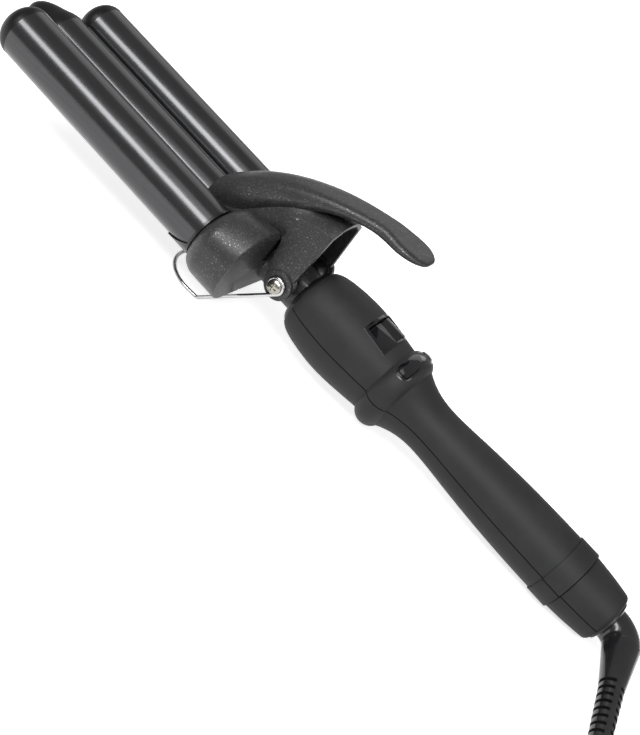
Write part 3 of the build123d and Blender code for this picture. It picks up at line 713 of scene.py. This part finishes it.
def packed_copy(node: str, name: str) -> bpy.types.Object:
    """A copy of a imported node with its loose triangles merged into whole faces.

    Args:
        node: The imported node.
        name: The new piece's name.

    Returns:
        The piece.
    """
    piece = bpy.data.objects.new(name, bpy.data.objects[node].data.copy())
    bpy.context.collection.objects.link(piece)
    only_selected(piece)
    bpy.ops.object.mode_set(mode="EDIT")
    bpy.ops.mesh.select_all(action="SELECT")
    bpy.ops.mesh.remove_doubles(threshold=WELD)
    bpy.ops.mesh.dissolve_limited(angle_limit=radians(FLAT_TURN))
    bpy.ops.object.mode_set(mode="OBJECT")
    return piece


def reshape(
    piece: bpy.types.Object, wanted: Wanted, factors: Point, centre: Point = ORIGIN
) -> None:
    """Draws some of a piece's vertices towards a point, apart on each axis.

    Args:
        piece: The object, in the tool's own axes.
        wanted: Says whether a vertex at a point is drawn.
        factors: The scale on each axis.
        centre: The point that stays.
    """
    select_verts(piece, wanted)
    resize(factors, centre)
    bpy.ops.object.mode_set(mode="OBJECT")


def lift(piece: bpy.types.Object, wanted: Wanted, shift: Point) -> None:
    """Moves some of a piece's vertices.

    Args:
        piece: The object, in the tool's own axes.
        wanted: Says whether a vertex at a point is moved.
        shift: The move, in millimetres.
    """
    select_verts(piece, wanted)
    bpy.ops.transform.translate(value=shift)
    bpy.ops.object.mode_set(mode="OBJECT")


def round_edges(
    piece: bpy.types.Object,
    width: float,
    angle: float = EDGE_TURN,
    smooth: float = SMOOTH_TURN,
) -> None:
    """Rounds a piece's sharp edges and shades the rest smooth.

    Args:
        piece: The object.
        width: The rounded edge's width, in millimetres.
        angle: The least turn, in degrees, that counts as an edge.
        smooth: The greatest turn, in degrees, that is shaded smooth.
    """
    rounding = piece.modifiers.new("rounding", "BEVEL")
    rounding.width = width * MM
    rounding.segments = EDGE_FACETS
    rounding.limit_method = "ANGLE"
    rounding.angle_limit = radians(angle)
    rounding.use_clamp_overlap = True
    apply_modifiers(piece)
    only_selected(piece)
    bpy.ops.object.shade_smooth_by_angle(angle=radians(smooth))


# ---------------------------------------------------------------- clamp
@dataclass(frozen=True)
class Station:
    """One cross-section of the lever: where it stands, and its top, underside and half width."""

    x: float
    top: float
    under: float
    half_w: float

    @property
    def middle(self) -> float:
        """The height halfway from the underside to the top."""
        return (self.top + self.under) / 2

    @property
    def half_h(self) -> float:
        """Half the section's height."""
        return (self.top - self.under) / 2


@dataclass
class ClampLever:
    """The sprung clamp: a rounded thumb lever with a shallow dish, on skirts down to the pivot.

    Its sizes are in millimetres, in the tool's own axes.
    """

    stations: tuple[Station, ...] = (
        Station(54.25, 13.0, -1.0, 10.8),
        Station(53.7, 13.8, -1.5, 11.2),
        Station(51.0, 17.2, -2.0, 11.7),
        Station(47.0, 21.8, -2.0, 12.0),
        Station(41.0, 27.9, -0.5, 12.3),
        Station(36.0, 31.7, 4.0, 12.4),
        Station(32.4, 34.3, 9.0, 12.4),
        Station(28.0, 37.0, 14.4, 12.3),
        Station(23.0, 39.8, 20.4, 12.1),
        Station(13.0, 44.5, 32.6, 11.2),
        Station(3.0, 48.2, 40.0, 10.1),
        Station(-6.0, 51.1, 44.6, 9.0),
        Station(-15.0, 53.6, 47.2, 8.4),
        Station(-21.0, 54.7, 47.8, 9.2),
        Station(-26.0, 55.3, 48.6, 10.3),
        Station(-31.0, 55.5, 49.6, 10.4),
        Station(-35.5, 55.0, 50.6, 9.0),
        Station(-38.3, 54.3, 51.6, 6.2),
    )
    tip_x: float = -39.7
    tip_share: float = 0.62
    sides: int = 16
    corner_from: float = 0.6
    corner_push: float = 1.13
    smoothing: int = 2
    smooth_turn: float = 60.0
    barrels: tuple[Pair, ...] = ((-25.4, 0.8), (0.0, -3.1), (25.4, 0.8))
    barrel_room: float = 13.0
    cutter_x: float = 50.0
    cutter_length: float = 60.0
    cutter_sides: int = 96
    dish: Point = (-28.0, 0.0, 54.9)
    dish_depth: float = 1.3
    dish_r: float = 11.0
    dish_middle_r: float = 2.4
    dish_skin: float = 1.2
    crown: tuple[Pair, ...] = (
        (-60.0, 40.4), (-4.4, 40.4), (11.3, 36.6), (31.5, 29.5), (54.3, 11.0),
    )
    crown_gap: float = 0.4
    squeeze: float = 0.55
    sink: float = 1.2
    short_x: float = -12.0
    short_factor: float = 0.84
    edge: float = 0.35

    def arm(self) -> bpy.types.Object:
        """Draws the lever from its nose to its tip, one section after another.

        Returns:
            The lever, in its place.
        """
        first, last = self.stations[0], self.stations[-1]
        nothing_selected()
        bpy.ops.mesh.primitive_circle_add(
            vertices=self.sides, radius=1.0, fill_type="NGON", rotation=(0.0, pi / 2, 0.0)
        )
        piece = bpy.context.object
        piece.name = "clamp_arm"
        bpy.ops.object.transform_apply(location=True, rotation=True, scale=True)
        # The first section: fuller corners than a circle's, then its own size and place.
        select_verts(piece, lambda p: min(abs(p.y), abs(p.z)) > self.corner_from)
        resize((1.0, self.corner_push, self.corner_push))
        bpy.ops.mesh.select_all(action="SELECT")
        resize((1.0, first.half_w, first.half_h))
        bpy.ops.transform.translate(value=(first.x, 0.0, first.middle))
        bpy.ops.mesh.select_mode(type="FACE")
        for before, here in zip(self.stations, self.stations[1:]):
            extrude((here.x - before.x, 0.0, here.middle - before.middle))
            growth = (1.0, here.half_w / before.half_w, here.half_h / before.half_h)
            resize(growth, (here.x, 0.0, here.middle))
        # The round end of the tip.
        extrude((self.tip_x - last.x, 0.0, 0.0))
        resize((1.0, self.tip_share, self.tip_share), (self.tip_x, 0.0, last.middle))
        bpy.ops.mesh.select_all(action="SELECT")
        bpy.ops.mesh.normals_make_consistent(inside=False)
        bpy.ops.object.mode_set(mode="OBJECT")
        smoothing = piece.modifiers.new("smoothing", "SUBSURF")
        smoothing.levels = smoothing.render_levels = self.smoothing
        apply_modifiers(piece)
        self.clear_barrels(piece)
        self.press_dish(piece)
        place(piece, tool_matrix())
        bpy.ops.object.shade_smooth_by_angle(angle=radians(self.smooth_turn))
        return piece

    def press_dish(self, piece: bpy.types.Object) -> None:
        """Presses the thumb's shallow dish into the top of the tip.

        Args:
            piece: The lever, in the tool's own axes.
        """
        skin = self.dish[2] - self.dish_skin
        select_verts(
            piece,
            lambda p: (p - Vector(self.dish)).length < self.dish_middle_r and p.z > skin,
        )
        bpy.ops.transform.translate(
            value=(0.0, 0.0, -self.dish_depth),
            use_proportional_edit=True,
            proportional_edit_falloff="SMOOTH",
            proportional_size=self.dish_r,
        )
        bpy.ops.object.mode_set(mode="OBJECT")

    def clear_barrels(self, piece: bpy.types.Object) -> None:
        """Cuts the room for the three barrels out of the underside of the nose.

        Args:
            piece: The lever, in the tool's own axes.
        """
        for y, z in self.barrels:
            nothing_selected()
            bpy.ops.mesh.primitive_cylinder_add(
                vertices=self.cutter_sides,
                radius=self.barrel_room,
                depth=self.cutter_length,
                location=(self.cutter_x, y, z),
                rotation=(0.0, pi / 2, 0.0),
            )
            cutter = bpy.context.object
            cutting = piece.modifiers.new("barrel room", "BOOLEAN")
            cutting.operation = "DIFFERENCE"
            cutting.object = cutter
            apply_modifiers(piece)
            bpy.data.objects.remove(cutter)

    def crown_level(self, x: float) -> float:
        """The height of the skirts' crown at a place along the tool.

        Args:
            x: The place, in millimetres.

        Returns:
            The height, in millimetres.
        """
        for (x0, z0), (x1, z1) in zip(self.crown, self.crown[1:]):
            if x <= x1:
                return z0 + (z1 - z0) * (x - x0) / (x1 - x0)
        return self.crown[-1][1]

    def skirts(self) -> bpy.types.Object:
        """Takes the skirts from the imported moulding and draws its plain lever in, out of sight.

        Returns:
            The skirts, in their place.
        """
        piece = packed_copy("clamp_lever", "clamp_skirts")
        place(piece, tool_matrix().inverted())

        def on_lever(point: Vector) -> bool:
            """Whether a point belongs to the plain lever."""
            return point.z > self.crown_level(point.x) + self.crown_gap

        reshape(piece, on_lever, (1.0, self.squeeze, 1.0))
        lift(piece, on_lever, (0.0, 0.0, -self.sink))
        shorter = (self.short_factor, 1.0, 1.0)
        reshape(piece, lambda p: p.x < self.short_x, shorter, (self.short_x, 0.0, 0.0))
        place(piece, tool_matrix())
        round_edges(piece, self.edge)
        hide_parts("clamp_lever")
        return piece

    def build(self, wardrobe: Wardrobe) -> list[bpy.types.Object]:
        """Makes and dresses both pieces.

        Args:
            wardrobe: The finishes.

        Returns:
            The pieces.
        """
        pieces = [self.arm(), self.skirts()]
        for piece in pieces:
            wardrobe.dress(piece, "moulding")
            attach(piece, Body.CLAMP.value)
        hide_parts("clamp_lever")
        return pieces


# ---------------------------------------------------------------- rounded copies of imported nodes
@dataclass(frozen=True)
class Rounded:
    """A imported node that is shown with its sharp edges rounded."""

    node: str
    name: str
    slot: str
    body: Body
    edge: float

    def build(self, wardrobe: Wardrobe) -> bpy.types.Object:
        """Makes and dresses the piece.

        Args:
            wardrobe: The finishes.

        Returns:
            The piece.
        """
        piece = packed_copy(self.node, self.name)
        place(piece, tool_matrix().inverted())
        self.shape(piece)
        place(piece, tool_matrix())
        round_edges(piece, self.edge)
        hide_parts(self.node)
        wardrobe.dress(piece, self.slot)
        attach(piece, self.body.value)
        return piece

    def shape(self, piece: bpy.types.Object) -> None:
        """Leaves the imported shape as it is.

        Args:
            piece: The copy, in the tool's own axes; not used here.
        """


@dataclass(frozen=True)
class JawHousing(Rounded):
    """The jaw, with its side lobes drawn in at the top and at the nose."""

    lobe_y: float = 14.8
    inner_y: float = 18.6
    top_from: float = 8.0
    rear_factor: float = 0.92
    front_x: float = 24.0
    front_factor: float = 0.84
    inner_factor: float = 0.87
    nose_from: float = 27.0
    nose_factor: float = 0.86

    def shape(self, piece: bpy.types.Object) -> None:
        """Draws the lobes in.

        Args:
            piece: The copy, in the tool's own axes.
        """

        def on_lobe(point: Vector) -> bool:
            """Whether a point is on one of the two lobes."""
            return abs(point.y) > self.lobe_y

        def on_top(point: Vector) -> bool:
            """Whether a point is on the upper part of a lobe."""
            return on_lobe(point) and point.z > self.top_from

        drawn: tuple[tuple[Wanted, float], ...] = (
            (on_top, self.rear_factor),
            (lambda p: on_top(p) and p.x > self.front_x, self.front_factor),
            (lambda p: on_top(p) and abs(p.y) < self.inner_y, self.inner_factor),
        )
        for wanted, factor in drawn:
            reshape(piece, wanted, (1.0, 1.0, factor), (0.0, 0.0, self.top_from))
        reshape(
            piece,
            lambda p: on_lobe(p) and p.x > self.nose_from,
            (self.nose_factor, 1.0, 1.0),
            (self.nose_from, 0.0, 0.0),
        )


@dataclass(frozen=True)
class PivotScrews(Rounded):
    """The pivot screws, with neater heads."""

    head_y: float = 20.8
    head_factor: float = 0.82

    def shape(self, piece: bpy.types.Object) -> None:
        """Makes the heads smaller round the pivot axis.

        Args:
            piece: The copy, in the tool's own axes.
        """
        factors = (self.head_factor, 1.0, self.head_factor)
        reshape(piece, lambda p: abs(p.y) > self.head_y, factors, (0.0, 0.0, PIVOT_Z))


ROUNDED: tuple[Rounded, ...] = (
    JawHousing("jaw_base", "jaw_housing", "moulding", Body.HANDLE, 0.5),
    PivotScrews("pivot_screws", "pivot_screw_pair", "screw", Body.HANDLE, 0.15),
    Rounded("switch_bezel", "switch_frame", "gloss_black", Body.HANDLE, 0.15),
    Rounded("plug_body", "plug_moulding", "plug", Body.CORD_END, 0.8),
)


# ---------------------------------------------------------------- rocker
@dataclass
class RockerCap:
    """The rocker's cap: two wings, a narrow wedge between them, and a far end that curves down.

    Its sizes are in millimetres, in the tool's own axes.
    """

    x_range: Pair = (-51.0, -40.0)
    y_range: Pair = (-9.8, 9.5)
    z_range: Pair = (11.6, 16.5)
    near_drop: float = 2.9
    far_end: tuple[Pair, ...] = (
        (-5.0, 18.0), (-6.1, 18.0), (-7.2, 17.7), (-8.2, 17.1), (-9.1, 16.3),
    )
    far_z: float = 15.2
    wedge_front: Pair = (3.0, -1.5)
    wedge_rear: Pair = (0.4, -0.3)
    wedge_slot: int = 1
    level_from: float = 0.99
    reach: float = 0.1
    foot: float = 0.9
    edge: float = 0.25
    edge_turn: float = 30.0
    smooth_turn: float = 17.0

    def cut(self, piece: bpy.types.Object, start: Pair, end: Pair) -> None:
        """Adds one crease line from the front of the cap to its rear.

        Args:
            piece: The cap, in the tool's own axes.
            start: The x and y of the line's start.
            end: The x and y of its end.
        """
        select_verts(piece, lambda p: True)
        across = Vector((end[1] - start[1], start[0] - end[0], 0.0)).normalized()
        bpy.ops.mesh.bisect(plane_co=(start[0], start[1], 0.0), plane_no=across)
        bpy.ops.object.mode_set(mode="OBJECT")

    def set_level(self, piece: bpy.types.Object, y: float, level: float) -> None:
        """Sets the height of one line across the top of the cap.

        Args:
            piece: The cap, in the tool's own axes.
            y: Where the line is.
            level: Its new height.
        """
        top = self.z_range[1]
        lift(
            piece,
            lambda p: p.z > top - self.reach and abs(p.y - y) < self.reach,
            (0.0, 0.0, level - top),
        )

    def mark_wedge(self, piece: bpy.types.Object) -> None:
        """Marks the flat wedge between the wings for its own lighter finish, a painted sheen for
        the light its flat facet catches.

        Args:
            piece: The cap, in the tool's own axes.
        """
        for face in piece.data.polygons:
            level = face.normal.z > self.level_from
            if level and abs(face.center.y) < self.wedge_front[0]:
                face.material_index = self.wedge_slot

    def build(self, wardrobe: Wardrobe) -> bpy.types.Object:
        """Draws the cap from a block, crease by crease.

        Args:
            wardrobe: The finishes.

        Returns:
            The cap.
        """
        (rear, front), (far, near), (low, high) = self.x_range, self.y_range, self.z_range
        middle = ((rear + front) / 2, (far + near) / 2, (low + high) / 2)
        nothing_selected()
        bpy.ops.mesh.primitive_cube_add(size=1.0, location=middle)
        piece = bpy.context.object
        piece.name = "rocker_cap"
        piece.scale = (front - rear, near - far, high - low)
        bpy.ops.object.transform_apply(location=True, rotation=True, scale=True)
        for start_y, end_y in zip(self.wedge_front, self.wedge_rear):
            self.cut(piece, (front, start_y), (rear, end_y))
        for y, _ in self.far_end:
            self.cut(piece, (front, y), (rear, y))
        levels = (*self.far_end, (near, high - self.near_drop), (far, self.far_z))
        for y, level in levels:
            self.set_level(piece, y, level)
        reshape(piece, lambda p: p.z < low + self.reach, (1.0, self.foot, 1.0))
        self.mark_wedge(piece)
        place(piece, tool_matrix())
        round_edges(piece, self.edge, self.edge_turn, self.smooth_turn)
        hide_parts("rocker_switch")
        wardrobe.dress(piece, "gloss_black")
        # The wedge's lighter black is painted sheen on its flat facet.
        piece.data.materials.append(wardrobe.materials["wedge"])
        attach(piece, Body.ROCKER.value)
        return piece


# ---------------------------------------------------------------- cord
def share_between(value: float, span: Pair) -> float:
    """How far a value has come along a span, from 0 to 1."""
    start, end = span
    return min(max((value - start) / (end - start), 0.0), 1.0)


@dataclass
class MainsCord:
    """The cord from its relief to the plug, with the unseen length in a neat coil on the table.

    Its sizes are in millimetres, in the row frame.
    """

    diameter: float = 6.6
    exit: Point = (-208.9, 60.0, 6.9)
    before_coil: tuple[Point, ...] = (
        (-211.8, 73.0, 5.6), (-215.6, 87.5, 3.3), (-219.9, 100.9, 3.3),
    )
    after_coil: tuple[Point, ...] = (
        (-304.7, 40.7, 9.9), (-295.4, 31.4, 9.9), (-288.0, 20.0, 10.0),
    )
    centre: Pair = (-267.4, 78.0)
    outer_r: float = 52.8
    rings: int = 5
    turns: float = 9.625
    first_turn: float = 0.125
    steps: int = 16
    climb: Pair = (4.5, 4.75)
    shift_in: Pair = (0.75, 1.0)
    shift_out: Pair = (0.65, 0.9)
    curve_order: int = 3
    curve_steps: int = 6
    round_steps: int = 4

    def radius(self, turn: float) -> float:
        """The coil's radius after some turns: rings a diameter apart, in below and out above.

        Args:
            turn: The turns so far.

        Returns:
            The radius, in millimetres.
        """
        inner = self.outer_r - (self.rings - 1) * self.diameter
        whole, part = int(turn), turn - int(turn)
        if turn < self.climb[0]:
            share = share_between(part, self.shift_in)
            return max(self.outer_r - (whole + share) * self.diameter, inner)
        share = share_between(part, self.shift_out)
        rings_out = max(whole - self.rings, 0) + (share if whole >= self.rings else 0.0)
        return min(inner + rings_out * self.diameter, self.outer_r)

    def coil(self) -> list[Point]:
        """The coil's points, in two layers.

        Returns:
            The points, in millimetres.
        """
        points = []
        spread = 1 / cos(pi / self.steps)
        low, high = self.diameter / 2, self.diameter * 1.5
        for step in range(int(self.first_turn * self.steps), int(self.turns * self.steps)):
            turn = step / self.steps
            angle = 2 * pi * turn
            reach = self.radius(turn) * spread
            rise = share_between(turn, self.climb)
            x = self.centre[0] + reach * cos(angle)
            y = self.centre[1] + reach * sin(angle)
            points.append((x, y, low + rise * (high - low)))
        return points

    def build(self, wardrobe: Wardrobe) -> bpy.types.Object:
        """Args:
            wardrobe: The finishes.

        Returns:
            The cord.
        """
        curve = bpy.data.curves.new("cord_lead", "CURVE")
        curve.dimensions = "3D"
        points = [self.exit, *self.before_coil, *self.coil(), *self.after_coil]
        spline = curve.splines.new("NURBS")
        spline.points.add(len(points) - 1)
        for point, (x, y, z) in zip(spline.points, points):
            point.co = (x * MM, y * MM, z * MM, 1.0)
        spline.order_u = self.curve_order
        spline.use_endpoint_u = True
        curve.resolution_u = self.curve_steps
        curve.bevel_depth = self.diameter / 2 * MM
        curve.bevel_resolution = self.round_steps
        curve.use_fill_caps = True
        piece = bpy.data.objects.new("cord_lead", curve)
        bpy.context.collection.objects.link(piece)
        wardrobe.dress(piece, "cord")
        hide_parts("cord_run", "cord_coil", "cord_tail")
        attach(piece, Body.CORD_END.value)
        return piece


# ---------------------------------------------------------------- studio
@dataclass(frozen=True)
class SoftBox:
    """One rectangular studio lamp."""

    name: str
    at: Point
    towards: Point
    size: Pair
    power: float

    def light(self) -> None:
        """Hangs the lamp and aims it."""
        lamp = bpy.data.lights.new(self.name, "AREA")
        lamp.shape = "RECTANGLE"
        lamp.size, lamp.size_y = self.size
        lamp.energy = self.power
        holder = bpy.data.objects.new(self.name, lamp)
        holder.location = self.at
        way = Vector(self.towards) - Vector(self.at)
        holder.rotation_euler = way.to_track_quat("-Z", "Y").to_euler()
        bpy.context.collection.objects.link(holder)


@dataclass
class Studio:
    """The pale floor, the lamps and the world."""

    lamps: tuple[SoftBox, ...] = (
        SoftBox("key box", (0.02, 0.72, 0.90), (0.0, 0.0, 0.03), (1.7, 0.34), 15.0),
        SoftBox("jaw light", (0.10, 0.22, 0.42), (0.02, 0.0, 0.06), (0.3, 0.3), 0.35),
        SoftBox("rear fill", (-1.1, 0.3, 0.6), (0.0, 0.0, 0.03), (0.7, 0.7), 3.0),
        SoftBox("far rim", (0.4, -1.1, 0.8), (0.0, 0.0, 0.03), (1.2, 0.8), 2.0),
    )
    ambient: float = 0.30
    floor_size: float = 12.0
    floor_colour: Point = (0.80, 0.80, 0.80)
    floor_glow: float = 0.76
    floor_mirror: float = 0.42

    def world(self) -> None:
        """Makes a world that is white to the camera and a plain grey to everything else."""
        world = bpy.data.worlds.new("studio world")
        world.use_nodes = True
        bpy.context.scene.world = world
        tree = world.node_tree
        back = tree.nodes["Background"]
        path = tree.nodes.new("ShaderNodeLightPath")
        level = Signal(tree, path.outputs["Is Camera Ray"]) * (1.0 - self.ambient) + self.ambient
        back.inputs["Color"].default_value = rgba(WHITE)
        tree.links.new(level.socket, back.inputs["Strength"])

    def floor(self) -> bpy.types.Object:
        """Lays a wide pale floor that keeps the object's shadow.

        Returns:
            The floor.
        """
        nothing_selected()
        bpy.ops.mesh.primitive_plane_add(size=self.floor_size, location=ORIGIN)
        floor = bpy.context.object
        floor.name = "studio_floor"
        graph = Graph("pale floor")
        path = graph.node("ShaderNodeLightPath")
        seen = Signal(graph.tree, path.outputs["Is Camera Ray"])
        mirrored = Signal(graph.tree, path.outputs["Is Glossy Ray"])
        graph.surface(Base_Color=rgba(self.floor_colour), Roughness=1.0)
        strength = seen * self.floor_glow + mirrored * self.floor_mirror
        glow = graph.node("ShaderNodeEmission", Color=rgba(WHITE), Strength=strength)
        both = graph.node("ShaderNodeAddShader")
        graph.tree.links.new(graph.shader.outputs[0], both.inputs[0])
        graph.tree.links.new(glow.outputs[0], both.inputs[1])
        output = graph.tree.nodes["Material Output"]
        graph.tree.links.new(both.outputs[0], output.inputs["Surface"])
        floor.data.materials.append(graph.material)
        return floor

    def build(self) -> None:
        """Sets up the whole studio."""
        self.world()
        self.floor()
        for lamp in self.lamps:
            lamp.light()
        bpy.context.scene.view_settings.view_transform = "Standard"


@dataclass(frozen=True)
class ViewPoint:
    """The camera: its place and its axes in the row frame."""

    at: Point = (-0.11778, 0.40460, 0.26903)
    right: Point = (-0.71031, -0.49110, 0.50426)
    up: Point = (0.67799, -0.28482, 0.67764)
    back: Point = (-0.18917, 0.82322, 0.53527)
    lens: float = 54.18
    sensor: float = 36.0
    clip: Pair = (0.01, 50.0)

    def build(self) -> None:
        """Makes the camera and gives it to the scene."""
        data = bpy.data.cameras.new("camera")
        data.lens = self.lens
        data.sensor_width = self.sensor
        data.clip_start, data.clip_end = self.clip
        camera = bpy.data.objects.new("camera", data)
        axes = Matrix((self.right, self.up, self.back)).transposed().to_4x4()
        camera.matrix_world = Matrix.Translation(self.at) @ axes
        bpy.context.collection.objects.link(camera)
        bpy.context.scene.camera = camera


def main() -> None:
    """Builds the whole scene in order."""
    logging.basicConfig(level=logging.INFO, format="%(name)s: %(message)s")
    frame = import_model()
    ViewPoint().build()
    wardrobe = Wardrobe()
    wardrobe.dress_nodes(frame["record"])
    for piece in ClampLever().build(wardrobe):
        LOG.info("piece %s", piece.name)
    for rounded in ROUNDED:
        LOG.info("piece %s", rounded.build(wardrobe).name)
    LOG.info("piece %s", RockerCap().build(wardrobe).name)
    LOG.info("cord %s", MainsCord().build(wardrobe).name)
    Studio().build()


if __name__ == "__main__":
    main()
